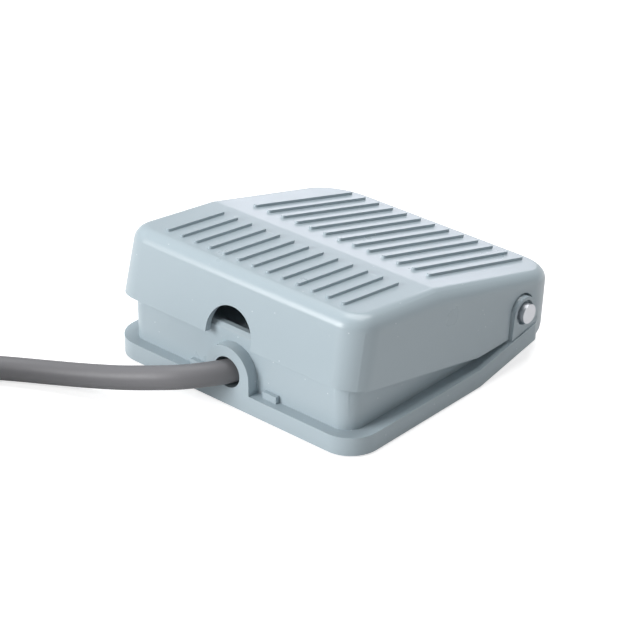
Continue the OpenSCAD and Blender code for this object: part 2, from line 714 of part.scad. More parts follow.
module switch_case() on_feet() color([0.16, 0.16, 0.17]) {
  top = switch_z + switch_h;
  difference() {
    union() {
      difference() {
        switch_box(switch_l / 2, switch_front_y + cover_t, switch_rear_y, switch_z, top);
        switch_box(switch_l / 2 - switch_wall, switch_front_y, switch_rear_y - switch_wall,
          switch_z + switch_wall, top - switch_wall);
      }
      // columns round the fixing holes
      for (s = [-1, 1]) translate([s * switch_hole_x, 0,
          switch_z + switch_hole_z + (s > 0 ? switch_hole_rise : 0)])
        rod_y(switch_hole_r + 0.9, switch_front_y + cover_t, switch_rear_y - eps);
      // lugs that carry the lever's pivot
      for (s = [-1, 1]) translate([pivot_x, -switch_y + s * (lever_w / 2 + 0.7), 0]) {
        translate([-1.4, -0.5, top - 0.5]) cube([2.8, 1, lever_pivot_h + 0.5]);
        translate([0, 0, pivot_z]) rod_y(1.4, -0.5, 0.5);
      }
    }
    switch_holes(switch_hole_r);
    translate([pivot_x, 0, pivot_z]) rod_y(0.55, switch_front_y, switch_rear_y);
    // button's hole
    translate([button_x, -switch_y, top - switch_wall - 1]) cylinder(r = button_r + run_clear, h = far);
    // slits for the terminals
    for (z = [tab_nc_z(), tab_no_z()]) translate([0, -switch_y - tab_w / 2 - touch, z - tab_t / 2 - touch])
      cube([far, tab_w + 2 * touch, tab_t + 2 * touch]);
    translate([-far, -switch_y - tab_w / 2 - touch, tab_com_z() - tab_t / 2 - touch])
      cube([far, tab_w + 2 * touch, tab_t + 2 * touch]);
  }
}

function tab_nc_z() = blade_z + 1.65;
function tab_no_z() = blade_z - 0.6 - blade_drop - 1.15;
function tab_com_z() = switch_z + 6.6;

module switch_cover() on_feet() color([0.22, 0.22, 0.24]) difference() {
  switch_box(switch_l / 2, switch_front_y, switch_front_y + cover_t, switch_z, switch_z + switch_h);
  switch_holes(switch_hole_r);
}

module switch_button() on_feet() color([0.75, 0.12, 0.10]) translate([button_x, -switch_y, 0]) {
  // domed at both ends, with a collar that keeps it in the case
  foot = blade_z + 0.15 + 0.1 + button_r;
  dome = pivot_z + dome_h;
  collar = switch_z + switch_h - switch_wall - 0.1;
  union() {
    translate([0, 0, foot]) cylinder(r = button_r, h = dome - foot);
    for (z = [foot, dome]) translate([0, 0, z]) sphere(button_r);
    translate([0, 0, collar - 0.8]) cylinder(r = button_r + 0.7, h = 0.8);
  }
}

module switch_lever() on_feet() color([0.78, 0.79, 0.80])
  translate([pivot_x, -switch_y, pivot_z]) rotate([0, -lever_deg, 0]) {
    translate([0, -lever_w / 2, -lever_t / 2]) cube([lever_l, lever_w, lever_t]);
    rod_y(0.8, -lever_w / 2, lever_w / 2);
    rod_y(0.5, -lever_w / 2 - 1, lever_w / 2 + 1);
  }

module contact_blade() on_feet() color([0.80, 0.62, 0.35])
  translate([blade_x, -switch_y, blade_z]) {
    translate([0, -1.6, -0.15]) cube([blade_l, 3.2, 0.3]);
    rod_y(0.5, -1.6, 1.6);
    translate([contact_x - blade_x, 0, -0.6]) cylinder(r = 1.2, h = 1.2);
  }

module tab(x0, x1, z) {
  // a terminal with its wire hole near the outer end x1
  hole = x1 + (x1 > x0 ? -1.8 : 1.8);
  difference() {
    translate([min(x0, x1), -switch_y - tab_w / 2, z - tab_t / 2]) cube([abs(x1 - x0), tab_w, tab_t]);
    translate([hole, -switch_y, z - 1]) cylinder(r = 0.8, h = 2);
  }
}

module com_terminal() on_feet() color([0.85, 0.75, 0.45]) {
  tab(blade_x - 1, -switch_l / 2 - tab_l, tab_com_z());
  // post under the blade's root
  translate([blade_x - 1, -switch_y - 1.4, tab_com_z() - tab_t / 2])
    cube([2, 2.8, blade_z - 0.6 - tab_com_z() + tab_t / 2]);
}

module no_terminal() on_feet() color([0.85, 0.75, 0.45]) {
  tab(contact_x - 2, switch_l / 2 + tab_l, tab_no_z());
  translate([contact_x, -switch_y, tab_no_z()]) cylinder(r = 1.2, h = 0.9);
}

module nc_terminal() on_feet() color([0.85, 0.75, 0.45]) {
  tab(contact_x - 2, switch_l / 2 + tab_l, tab_nc_z());
  translate([contact_x, -switch_y, tab_nc_z() - 0.95]) cylinder(r = 1.2, h = 0.9);
}

module switch_screws() on_feet() color([0.72, 0.73, 0.75])
  for (s = [-1, 1]) translate([s * switch_hole_x, switch_front_y,
      switch_z + switch_hole_z + (s > 0 ? switch_hole_rise : 0)])
    rotate([-90, 0, 0]) screw(switch_t + 3.6);

module cable_clamp() on_feet() color([0.20, 0.20, 0.22]) difference() {
  translate([clamp_x - clamp_screw_x - 3, clamp_y - clamp_l / 2, port_z - 0.2 + 0.5])
    cube([2 * clamp_screw_x + 6, clamp_l, cable_r + clamp_t - 0.5]);
  translate([clamp_x, 0, port_z - 0.2]) rod_y(cable_r + touch, clamp_y - 5, clamp_y + 5);
  for (s = [-1, 1]) translate([clamp_x + s * clamp_screw_x, clamp_y, 0])
    cylinder(r = shank_r + 0.2, h = far);
  // pockets for the screws' heads
  for (s = [-1, 1]) translate([clamp_x + s * clamp_screw_x, clamp_y, clamp_seat()])
    cylinder(r = head_r + 0.1, h = far);
}

function clamp_seat() = port_z - 0.2 + cable_r + clamp_t - 1.7;

module clamp_screws() on_feet() color([0.72, 0.73, 0.75])
  for (s = [-1, 1]) translate([clamp_x + s * clamp_screw_x, clamp_y, clamp_seat()])
    mirror([0, 0, 1]) screw(7);

// A closed tube of n sides that follows a line of points
module sweep(line, r, n) {
  last = len(line) - 1;
  rings = [for (i = [0 : last]) let (
      d = line[min(i + 1, last)] - line[max(i - 1, 0)],
      w = d / norm(d),
      s = cross([0, 0, 1], w) / norm(cross([0, 0, 1], w)),
      u = cross(w, s)
    ) [for (k = [0 : n - 1]) line[i] + r * (cos(360 * k / n) * s + sin(360 * k / n) * u)]];
  points = [for (ring = rings) for (p = ring) p];
  faces = concat(
    [[for (k = [0 : n - 1]) k]],
    [for (i = [0 : last - 1], k = [0 : n - 1]) let (a = i * n + k, b = i * n + (k + 1) % n)
      each [[a, a + n, b + n], [a, b + n, b]]],
    [[for (k = [n - 1 : -1 : 0]) last * n + k]]
  );
  polyhedron(points, faces, convexity = 10);
}

// Smooth points between hand-chosen ones
function between(a, b, c, d, t) = 0.5 * ((2 * b) + (c - a) * t + (2 * a - 5 * b + 4 * c - d) * t * t
  + (3 * b - a - 3 * c + d) * t * t * t);
function smooth(p, n) = let (m = len(p) - 1) concat(
  [for (i = [0 : m - 1], j = [0 : n - 1])
    between(p[max(i - 1, 0)], p[i], p[i + 1], p[min(i + 2, m)], j / n)], [p[m]]);

module cable_inside() color([0.55, 0.55, 0.57]) sweep(smooth(inside_points, 2), cable_r, 12);

module core(points, shade) color(shade) sweep(smooth(points, 3), core_d / 2, 8);

core_start_z = port_z - 0.2 + foot_proud;

module com_core() core([
  [1.7, -20.8, core_start_z - 0.7], [1.7, -19.5, core_start_z - 0.7], [0, -16, core_start_z - 1], [-7, -13, core_start_z - 1.5],
  [-15, -11, core_start_z - 1], [-21, -8, core_start_z - 0.3],
  [-switch_l / 2 - tab_l + 1.6, -switch_y - tab_w / 2 - core_d / 2 - touch, tab_com_z() + foot_proud]
], [0.42, 0.26, 0.16]);

module no_core() core([
  [4.3, -20.8, core_start_z - 0.7], [4.3, -19.5, core_start_z - 0.7], [6, -16, core_start_z - 2], [11, -13, core_start_z - 3],
  [16, -10.5, core_start_z - 3.5], [20, -8, core_start_z - 3.5],
  [switch_l / 2 + tab_l - 1.6, -switch_y - tab_w / 2 - core_d / 2 - touch, tab_no_z() + foot_proud]
], [0.18, 0.30, 0.62]);

module nc_core() core([
  [3, -20.8, core_start_z + 1.4], [3, -19.5, core_start_z + 1.4], [5, -16, core_start_z + 1.5], [11, -13.2, core_start_z + 1.8],
  [16.5, -11.5, core_start_z + 2], [20.5, -9, core_start_z + 2.2],
  [switch_l / 2 + tab_l - 1.6, -switch_y - tab_w / 2 - core_d / 2 - touch, tab_nc_z() + foot_proud]
], [0.10, 0.10, 0.11]);

module cable_lead() color([0.55, 0.55, 0.57]) sweep(smooth(lead_points, 2), cable_r, 10);

module cable_tail() color([0.55, 0.55, 0.57]) sweep(tail_line, cable_r, 10);

module cable_coil() color([0.55, 0.55, 0.57]) translate([coil_x, coil_y, 0]) rotate_extrude() {
  inner = coil_in - cable_r;
  outer = coil_out + cable_r;
  translate([inner + cable_r, 0]) square([outer - inner - cable_d, coil_h]);
  translate([inner, cable_r]) square([outer - inner, coil_h - cable_d]);
  for (x = [inner + cable_r, outer - cable_r], z = [cable_r, coil_h - cable_r]) translate([x, z]) circle(cable_r);
}

module coil_tie() color([0.08, 0.08, 0.09]) translate([coil_x, coil_y, 0]) rotate([0, 0, tie_deg])
  rotate([90, 0, 0]) translate([0, 0, -1.8]) linear_extrude(3.6) difference() {
    union() {
      translate([coil_in - cable_r - 1.2, 0.7]) square([coil_out - coil_in + cable_d + 2.4, 20.7]);
      // head of the tie
      translate([coil_out + cable_r, 10]) square([3.4, 5]);
    }
    translate([coil_in - cable_r - 0.2, 1.7]) square([coil_out - coil_in + cable_d + 0.4, 18.7]);
  }

tail_end = tail_line[12];
tail_deg = 160;
core_lift = [-1.95, -1.95, 1];
core_in = [-1.15, 1.15, 0];
core_bend = [19, 13.5, 16];
core_shades = [[0.42, 0.26, 0.16], [0.18, 0.30, 0.62], [0.10, 0.10, 0.11]];

// Line of core i from s0 to s1 along it: it bends inwards and sinks to the floor
function end_line(i, s0, s1) = [for (j = [0 : 8]) let (
    s = s0 + (s1 - s0) * j / 8,
    a = s / core_bend[i] * 180 / PI,
    fwd = core_bend[i] * sin(a),
    inwards = core_in[i] + core_bend[i] * (1 - cos(a)),
    drop = core_lift[i] + (core_lift[i] > 0 ? -2.9 * (1 - cos(min(180, s * 10))) / 2 : 0)
  ) tail_end + [
    -fwd * sin(tail_deg) - inwards * cos(tail_deg),
    fwd * cos(tail_deg) - inwards * sin(tail_deg),
    drop
  ]];

module core_ends() for (i = [0 : 2]) color(core_shades[i])
  sweep(end_line(i, 0.05, core_len - strand_len), core_d / 2, 8);

module core_strands() color([0.80, 0.50, 0.30]) for (i = [0 : 2])
  sweep(end_line(i, core_len - strand_len, core_len), core_d / 4, 8);

base_tray();
inner_housing();
base_screws();
front_feet();
rear_feet();
hinge_pin();
pin_clips();
pedal();
return_spring();
switch_case();
switch_cover();
switch_button();
switch_lever();
contact_blade();
com_terminal();
no_terminal();
nc_terminal();
switch_screws();
cable_clamp();
clamp_screws();
cable_inside();
com_core();
no_core();
nc_core();
cable_lead();
cable_coil();
cable_tail();
coil_tie();
core_ends();
core_strands();
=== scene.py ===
import math
import bmesh
import bpy
from mathutils import Matrix, Vector


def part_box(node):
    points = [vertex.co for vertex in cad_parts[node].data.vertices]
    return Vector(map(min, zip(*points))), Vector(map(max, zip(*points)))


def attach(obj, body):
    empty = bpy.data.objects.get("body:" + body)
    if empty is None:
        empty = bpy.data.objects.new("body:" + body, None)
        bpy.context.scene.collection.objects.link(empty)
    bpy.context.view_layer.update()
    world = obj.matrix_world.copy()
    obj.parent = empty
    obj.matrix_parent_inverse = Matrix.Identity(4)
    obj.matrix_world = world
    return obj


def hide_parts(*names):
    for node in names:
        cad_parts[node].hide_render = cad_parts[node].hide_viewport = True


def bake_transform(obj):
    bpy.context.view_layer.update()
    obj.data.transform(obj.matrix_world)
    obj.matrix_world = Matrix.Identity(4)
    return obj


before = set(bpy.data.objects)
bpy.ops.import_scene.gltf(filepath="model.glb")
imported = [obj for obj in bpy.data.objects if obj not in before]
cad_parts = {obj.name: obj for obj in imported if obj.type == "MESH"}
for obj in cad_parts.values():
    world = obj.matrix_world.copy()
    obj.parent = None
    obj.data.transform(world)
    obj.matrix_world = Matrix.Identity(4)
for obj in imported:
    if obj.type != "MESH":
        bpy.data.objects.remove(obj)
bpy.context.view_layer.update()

# ---------------------------------------------------------------- camera
# A long lens from the cable side, a little to the right and above.
camera = bpy.data.cameras.new("camera")
camera.sensor_width = 36
camera.lens = 130.63
camera.clip_start = 0.01
camera.clip_end = 20
camera_object = bpy.data.objects.new("camera", camera)
bpy.context.scene.collection.objects.link(camera_object)
forward = Vector((-0.5835, 0.6548, -0.4805)).normalized()
right = Vector((0.7466, 0.6653, 0.0)).normalized()
up = right.cross(forward)
camera_object.matrix_world = Matrix((
    (right.x, up.x, -forward.x, 0.334535),
    (right.y, up.y, -forward.y, -0.383195),
    (right.z, up.z, -forward.z, 0.285365),
    (0, 0, 0, 1),
))
bpy.context.scene.camera = camera_object

# ---------------------------------------------------------------- lead
# The grey round lead leaves the arch, bends down to the floor and runs off to a neat coil
# that is held by a tie. Its end lies inside the coil, stripped to three cores.
jacket = bpy.data.materials.new("lead_jacket")
jacket.use_nodes = True
nodes = jacket.node_tree.nodes
links = jacket.node_tree.links
shader = nodes["Principled BSDF"]
shader.inputs["Base Color"].default_value = (0.175, 0.175, 0.185, 1)
place = nodes.new("ShaderNodeTexCoord")
mottle = nodes.new("ShaderNodeTexNoise")
mottle.inputs["Scale"].default_value = 900
mottle.inputs["Detail"].default_value = 4
links.new(place.outputs["Object"], mottle.inputs["Vector"])
shade = nodes.new("ShaderNodeMapRange")
shade.inputs["To Min"].default_value = 0.42
shade.inputs["To Max"].default_value = 0.58
links.new(mottle.outputs["Fac"], shade.inputs["Value"])
links.new(shade.outputs["Result"], shader.inputs["Roughness"])
grain = nodes.new("ShaderNodeBump")
grain.inputs["Strength"].default_value = 0.12
grain.inputs["Distance"].default_value = 0.0002
links.new(mottle.outputs["Fac"], grain.inputs["Height"])
links.new(grain.outputs["Normal"], shader.inputs["Normal"])

coil_x, coil_y = -44.1, -122.4
coil_out, coil_in = 31.5, 25.4
coil_start = 160
route = [
    (-0.1, -39.5, 9.2), (-1.2, -41.9, 9.2), (-3.5, -45.2, 9.1), (-6.9, -48.7, 8.7),
    (-11.1, -51.3, 8.0), (-20.4, -55.0, 6.0), (-29.8, -58.4, 4.4), (-39.0, -62.2, 3.4),
    (-47.5, -66.6, 3.0), (-54.3, -71.2, 3.0), (-58.8, -75.7, 3.0), (-62.4, -80.8, 3.0),
    (-65.0, -86.5, 3.0), (-69.7, -99.3, 3.0),
]
# two turns upwards, over the top and two turns down inside them, then inwards on the floor
for i in range(0, 5 * 24 + 1):
    t = i / 24
    cross = min(max((t - 2.1) / 0.35, 0), 1)
    r = coil_out - (coil_out - coil_in) * cross * cross * (3 - 2 * cross)
    if t < 2.1:
        z = 3 + 6.1 * t
    elif t < 2.45:
        z = 15.81 + 1.8 * cross
    else:
        z = max(17.61 - 6.7 * (t - 2.45), 3)
    r -= 5.8 * max((t - 4.63) / 0.37, 0)
    a = math.radians(coil_start + 360 * t)
    route.append((coil_x + r * math.cos(a), coil_y + r * math.sin(a), z))
line = []
for i in range(len(route) - 1):
    p0 = Vector(route[max(i - 1, 0)])
    p1 = Vector(route[i])
    p2 = Vector(route[i + 1])
    p3 = Vector(route[min(i + 2, len(route) - 1)])
    steps = max(2, round((p2 - p1).length / 2.2))
    for j in range(steps):
        t = j / steps
        line.append(0.5 * (2 * p1 + (p2 - p0) * t + (2 * p0 - 5 * p1 + 4 * p2 - p3) * t * t
                           + (3 * p1 - p0 - 3 * p2 + p3) * t * t * t))
line.append(Vector(route[-1]))
lead_curve = bpy.data.curves.new("lead", "CURVE")
lead_curve.dimensions = "3D"
lead_curve.bevel_depth = 0.00299
lead_curve.bevel_resolution = 7
lead_curve.use_fill_caps = True
spline = lead_curve.splines.new("POLY")
spline.points.add(len(line) - 1)
for point, p in zip(spline.points, line):
    point.co = (p.x / 1000, p.y / 1000, p.z / 1000, 1)
lead = bpy.data.objects.new("lead", lead_curve)
bpy.context.scene.collection.objects.link(lead)
lead_curve.materials.append(jacket)
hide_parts("cable_lead", "cable_coil", "cable_tail")
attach(lead, "base")

# ---------------------------------------------------------------- lead inside the case
# The same jacket from the hole to the clamp.
inside = [(-0.1, -39.5, 9.2), (0.8, -37.3, 9.2), (1.7, -35, 9.2), (2.6, -31.5, 9.2),
          (3, -28, 9.2), (3, -24, 9.2), (3, -21, 9.2)]
inside_curve = bpy.data.curves.new("lead_inside", "CURVE")
inside_curve.dimensions = "3D"
inside_curve.bevel_depth = 0.00299
inside_curve.bevel_resolution = 6
inside_curve.use_fill_caps = True
spline = inside_curve.splines.new("POLY")
points = []
for i in range(len(inside) - 1):
    p0 = Vector(inside[max(i - 1, 0)])
    p1 = Vector(inside[i])
    p2 = Vector(inside[i + 1])
    p3 = Vector(inside[min(i + 2, len(inside) - 1)])
    for j in range(4):
        t = j / 4
        points.append(0.5 * (2 * p1 + (p2 - p0) * t + (2 * p0 - 5 * p1 + 4 * p2 - p3) * t * t
                             + (3 * p1 - p0 - 3 * p2 + p3) * t * t * t))
points.append(Vector(inside[-1]))
spline.points.add(len(points) - 1)
for point, p in zip(spline.points, points):
    point.co = (p.x / 1000, p.y / 1000, p.z / 1000, 1)
lead_inside = bpy.data.objects.new("lead_inside", inside_curve)
bpy.context.scene.collection.objects.link(lead_inside)
inside_curve.materials.append(jacket)
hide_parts("cable_inside")
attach(lead_inside, "base")

# ---------------------------------------------------------------- moulded plastic
# Semi-gloss blue-grey ABS, with a very fine moulding grain and a few dust specks.
plastic = bpy.data.materials.new("moulded_plastic")
plastic.use_nodes = True
nodes = plastic.node_tree.nodes
links = plastic.node_tree.links
shader = nodes["Principled BSDF"]
place = nodes.new("ShaderNodeTexCoord")
fine = nodes.new("ShaderNodeTexNoise")
fine.inputs["Scale"].default_value = 1600
fine.inputs["Detail"].default_value = 3
links.new(place.outputs["Object"], fine.inputs["Vector"])
broad = nodes.new("ShaderNodeTexNoise")
broad.inputs["Scale"].default_value = 60
broad.inputs["Detail"].default_value = 5
links.new(place.outputs["Object"], broad.inputs["Vector"])
gloss = nodes.new("ShaderNodeMapRange")
gloss.inputs["To Min"].default_value = 0.24
gloss.inputs["To Max"].default_value = 0.34
links.new(broad.outputs["Fac"], gloss.inputs["Value"])
links.new(gloss.outputs["Result"], shader.inputs["Roughness"])
specks = nodes.new("ShaderNodeTexVoronoi")
specks.inputs["Scale"].default_value = 300
links.new(place.outputs["Object"], specks.inputs["Vector"])
dust = nodes.new("ShaderNodeMapRange")
dust.inputs["From Min"].default_value = 0.035
dust.inputs["From Max"].default_value = 0.06
dust.inputs["To Min"].default_value = 0.5
dust.inputs["To Max"].default_value = 0.0
links.new(specks.outputs["Distance"], dust.inputs["Value"])
tint = nodes.new("ShaderNodeMix")
tint.data_type = "RGBA"
tint.inputs["A"].default_value = (0.405, 0.485, 0.530, 1)
tint.inputs["B"].default_value = (0.85, 0.88, 0.90, 1)
links.new(dust.outputs["Result"], tint.inputs["Factor"])
links.new(tint.outputs["Result"], shader.inputs["Base Color"])
grain = nodes.new("ShaderNodeBump")
grain.inputs["Strength"].default_value = 0.08
grain.inputs["Distance"].default_value = 0.0001
links.new(fine.outputs["Fac"], grain.inputs["Height"])
links.new(grain.outputs["Normal"], shader.inputs["Normal"])

# ---------------------------------------------------------------- pedal
# One drafted shell with a creased ribbed top. Its cut edges are broken by a small radius.
body = bmesh.new()
body.from_mesh(bpy.data.objects["pedal"].data)
bmesh.ops.remove_doubles(body, verts=body.verts, dist=1e-6)
bmesh.ops.dissolve_limit(body, angle_limit=math.radians(0.03), verts=body.verts, edges=body.edges)
for f in body.faces:
    f.smooth = True
pedal_mesh = bpy.data.meshes.new("pedal_shell")
body.to_mesh(pedal_mesh)
body.free()
pedal_mesh.materials.append(plastic)
pedal_shell = bpy.data.objects.new("pedal_shell", pedal_mesh)
bpy.context.scene.collection.objects.link(pedal_shell)
rounded = pedal_shell.modifiers.new("rounded", "BEVEL")
rounded.width = 0.00024
rounded.segments = 2
rounded.limit_method = "ANGLE"
rounded.angle_limit = math.radians(40)
even = pedal_shell.modifiers.new("even", "WEIGHTED_NORMAL")
even.keep_sharp = True
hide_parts("pedal")
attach(pedal_shell, "pedal_body")

# ---------------------------------------------------------------- tray
# The same plastic; every moulded edge carries a small radius.
body = bmesh.new()
body.from_mesh(bpy.data.objects["base_tray"].data)
bmesh.ops.remove_doubles(body, verts=body.verts, dist=1e-6)
bmesh.ops.dissolve_limit(body, angle_limit=math.radians(0.03), verts=body.verts, edges=body.edges)
for f in body.faces:
    f.smooth = True
tray_mesh = bpy.data.meshes.new("base_tray_moulding")
body.to_mesh(tray_mesh)
body.free()
tray_mesh.materials.append(plastic)
tray = bpy.data.objects.new("base_tray_moulding", tray_mesh)
bpy.context.scene.collection.objects.link(tray)
rounded = tray.modifiers.new("rounded", "BEVEL")
rounded.width = 0.00026
rounded.segments = 2
rounded.limit_method = "ANGLE"
rounded.angle_limit = math.radians(40)
even = tray.modifiers.new("even", "WEIGHTED_NORMAL")
even.keep_sharp = True
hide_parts("base_tray")
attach(tray, "base")

# ---------------------------------------------------------------- inner housing
# The same plastic again; its rim's sloped edge is moulded and its corners are smooth.
body = bmesh.new()
body.from_mesh(bpy.data.objects["inner_housing"].data)
bmesh.ops.remove_doubles(body, verts=body.verts, dist=1e-6)
bmesh.ops.dissolve_limit(body, angle_limit=math.radians(0.03), verts=body.verts, edges=body.edges)
for f in body.faces:
    f.smooth = True
housing_mesh = bpy.data.meshes.new("inner_housing_moulding")
body.to_mesh(housing_mesh)
body.free()
housing_mesh.set_sharp_from_angle(angle=math.radians(30))
housing_mesh.materials.append(plastic)
housing = bpy.data.objects.new("inner_housing_moulding", housing_mesh)
bpy.context.scene.collection.objects.link(housing)
even = housing.modifiers.new("even", "WEIGHTED_NORMAL")
even.keep_sharp = True
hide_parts("inner_housing")
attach(housing, "base")

# ---------------------------------------------------------------- metal parts
# Bright drawn pin, zinc-plated screws, blued clips, pressed steel and stamped brass. Each has
# fine drawing lines along one axis and broad patches where handling has dulled it.
for name, colour, low, high, lines, wear, pieces in (
    ("pin_steel", (0.66, 0.67, 0.70), 0.34, 0.50, (60, 2600, 2600), 260, ("hinge_pin",)),
    ("zinc_plate", (0.60, 0.61, 0.63), 0.28, 0.48, (900, 900, 900), 400,
     ("base_screws", "switch_screws", "clamp_screws")),
    ("blued_steel", (0.10, 0.11, 0.14), 0.30, 0.45, (1400, 1400, 200), 500, ("pin_clips",)),
    ("pressed_steel", (0.62, 0.63, 0.65), 0.24, 0.38, (80, 2400, 2400), 350, ("switch_lever",)),
    ("stamped_brass", (0.74, 0.56, 0.26), 0.24, 0.40, (100, 2200, 2200), 380,
     ("contact_blade", "com_terminal", "no_terminal", "nc_terminal")),
):
    metal = bpy.data.materials.new(name)
    metal.use_nodes = True
    nodes = metal.node_tree.nodes
    links = metal.node_tree.links
    shader = nodes["Principled BSDF"]
    shader.inputs["Base Color"].default_value = (*colour, 1)
    shader.inputs["Metallic"].default_value = 1
    place = nodes.new("ShaderNodeTexCoord")
    stretch = nodes.new("ShaderNodeMapping")
    stretch.inputs["Scale"].default_value = lines
    links.new(place.outputs["Object"], stretch.inputs["Vector"])
    drawn = nodes.new("ShaderNodeTexNoise")
    drawn.inputs["Scale"].default_value = 1
    drawn.inputs["Detail"].default_value = 4
    links.new(stretch.outputs["Vector"], drawn.inputs["Vector"])
    dulled = nodes.new("ShaderNodeTexNoise")
    dulled.inputs["Scale"].default_value = wear
    dulled.inputs["Detail"].default_value = 5
    links.new(place.outputs["Object"], dulled.inputs["Vector"])
    gloss = nodes.new("ShaderNodeMapRange")
    gloss.inputs["To Min"].default_value = low
    gloss.inputs["To Max"].default_value = high
    links.new(dulled.outputs["Fac"], gloss.inputs["Value"])
    links.new(gloss.outputs["Result"], shader.inputs["Roughness"])
    grain = nodes.new("ShaderNodeBump")
    grain.inputs["Strength"].default_value = 0.15
    grain.inputs["Distance"].default_value = 0.00005
    links.new(drawn.outputs["Fac"], grain.inputs["Height"])
    links.new(grain.outputs["Normal"], shader.inputs["Normal"])
    for piece in pieces:
        bpy.data.objects[piece].data.materials.clear()
        bpy.data.objects[piece].data.materials.append(metal)

# ---------------------------------------------------------------- rubber and small plastics
# Matte rubber feet, the black switch body, its red button, nylon clamp and tie, and the three
# insulated cores. A fine pimple and slow changes of sheen keep each from looking flat.
soft_finish = {}
for name, colour, low, high, pimple, depth, pieces in (
    ("foot_rubber", (0.022, 0.022, 0.024), 0.62, 0.80, 1500, 0.30, ("front_feet", "rear_feet")),
    ("switch_black", (0.022, 0.023, 0.025), 0.40, 0.55, 1300, 0.15, ("switch_case",)),
    ("cover_black", (0.040, 0.041, 0.044), 0.34, 0.48, 1300, 0.12, ("switch_cover",)),
    ("button_red", (0.42, 0.025, 0.020), 0.26, 0.38, 1200, 0.06, ("switch_button",)),
    ("nylon_black", (0.018, 0.018, 0.019), 0.38, 0.52, 1000, 0.15, ("cable_clamp", "coil_tie")),
    ("core_brown", (0.12, 0.045, 0.020), 0.36, 0.48, 1100, 0.06, ("com_core",)),
    ("core_blue", (0.020, 0.070, 0.32), 0.36, 0.48, 1100, 0.06, ("no_core",)),
    ("core_black", (0.020, 0.020, 0.022), 0.36, 0.48, 1100, 0.06, ("nc_core",)),
):
    finish = bpy.data.materials.new(name)
    finish.use_nodes = True
    nodes = finish.node_tree.nodes
    links = finish.node_tree.links
    shader = nodes["Principled BSDF"]
    shader.inputs["Base Color"].default_value = (*colour, 1)
    place = nodes.new("ShaderNodeTexCoord")
    pimples = nodes.new("ShaderNodeTexNoise")
    pimples.inputs["Scale"].default_value = pimple
    pimples.inputs["Detail"].default_value = 3
    links.new(place.outputs["Object"], pimples.inputs["Vector"])
    sheen = nodes.new("ShaderNodeTexNoise")
    sheen.inputs["Scale"].default_value = 180
    sheen.inputs["Detail"].default_value = 4
    links.new(place.outputs["Object"], sheen.inputs["Vector"])
    gloss = nodes.new("ShaderNodeMapRange")
    gloss.inputs["To Min"].default_value = low
    gloss.inputs["To Max"].default_value = high
    links.new(sheen.outputs["Fac"], gloss.inputs["Value"])
    links.new(gloss.outputs["Result"], shader.inputs["Roughness"])
    grain = nodes.new("ShaderNodeBump")
    grain.inputs["Strength"].default_value = depth
    grain.inputs["Distance"].default_value = 0.0001
    links.new(pimples.outputs["Fac"], grain.inputs["Height"])
    links.new(grain.outputs["Normal"], shader.inputs["Normal"])
    soft_finish[name] = finish
    for piece in pieces:
        bpy.data.objects[piece].data.materials.clear()
        bpy.data.objects[piece].data.materials.append(finish)

# ---------------------------------------------------------------- return spring
# Round drawn wire in seven turns, closed up at both ends.
spring_low, spring_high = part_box("return_spring")
wire = 0.0005
spring_x = (spring_low[0] + spring_high[0]) / 2
spring_y = (spring_low[1] + spring_high[1]) / 2
spring_r = (spring_high[0] - spring_low[0]) / 2 - wire
foot_z = spring_low[2] + wire
head_z = spring_high[2] - wire
rise = (head_z - foot_z - 4 * wire) / 5
spring_curve = bpy.data.curves.new("spring_wire", "CURVE")
spring_curve.dimensions = "3D"
spring_curve.bevel_depth = wire
spring_curve.bevel_resolution = 5
spring_curve.use_fill_caps = True
spline = spring_curve.splines.new("POLY")
spline.points.add(7 * 48)
for i, point in enumerate(spline.points):
    t = i / 48
    if t < 1:
        z = foot_z + 2 * wire * t
    elif t > 6:
        z = head_z - 2 * wire * (7 - t)
    else:
        z = foot_z + 2 * wire + rise * (t - 1)
    a = 2 * math.pi * t
    point.co = (spring_x + spring_r * math.cos(a), spring_y + spring_r * math.sin(a), z, 1)
wound = bpy.data.objects.new("wound", spring_curve)
bpy.context.scene.collection.objects.link(wound)
bpy.context.view_layer.update()
spring_mesh = bpy.data.meshes.new_from_object(wound)
bpy.data.objects.remove(wound)
spring = bpy.data.objects.new("return_spring_wire", spring_mesh)
bpy.context.scene.collection.objects.link(spring)
for f in spring_mesh.polygons:
    f.use_smooth = True
spring_mesh.materials.clear()
spring_mesh.materials.append(bpy.data.materials["pressed_steel"])
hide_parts("return_spring")
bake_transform(spring)

# ---------------------------------------------------------------- coil tie
# A flat nylon strap drawn tight round the turns of the coil, with its square head outside.
tie_deg = 330
turn_t = (tie_deg - coil_start) / 360
stack = [(coil_out, 3 + 6.1 * turn_t), (coil_out, 3 + 6.1 * (turn_t + 1))]
stack += [(coil_in, 17.61 - 6.7 * (turn_t + n - 2.45)) for n in (2, 3, 4)]
strap_curve = bpy.data.curves.new("strap", "CURVE")
strap_curve.dimensions = "2D"
strap_curve.fill_mode = "NONE"
strap_curve.extrude = 0.0017
strap_curve.bevel_depth = 0.0003
strap_curve.bevel_resolution = 2
spline = strap_curve.splines.new("POLY")
spline.points.add(71)
spline.use_cyclic_u = True
for i, point in enumerate(spline.points):
    a = math.radians(5 * i)
    r, z = max(stack, key=lambda c: c[0] * math.cos(a) + c[1] * math.sin(a))
    point.co = ((r + 3.35 * math.cos(a)) / 1000, (z + 3.35 * math.sin(a)) / 1000, 0, 1)
strap = bpy.data.objects.new("strap", strap_curve)
bpy.context.scene.collection.objects.link(strap)
bpy.context.view_layer.update()
body = bmesh.new()
body.from_mesh(bpy.data.meshes.new_from_object(strap))
bpy.data.objects.remove(strap)
bmesh.ops.remove_doubles(body, verts=body.verts, dist=1e-6)
head = bmesh.ops.create_cube(body, size=1)
bmesh.ops.scale(body, verts=head["verts"], vec=(0.0032, 0.005, 0.0048))
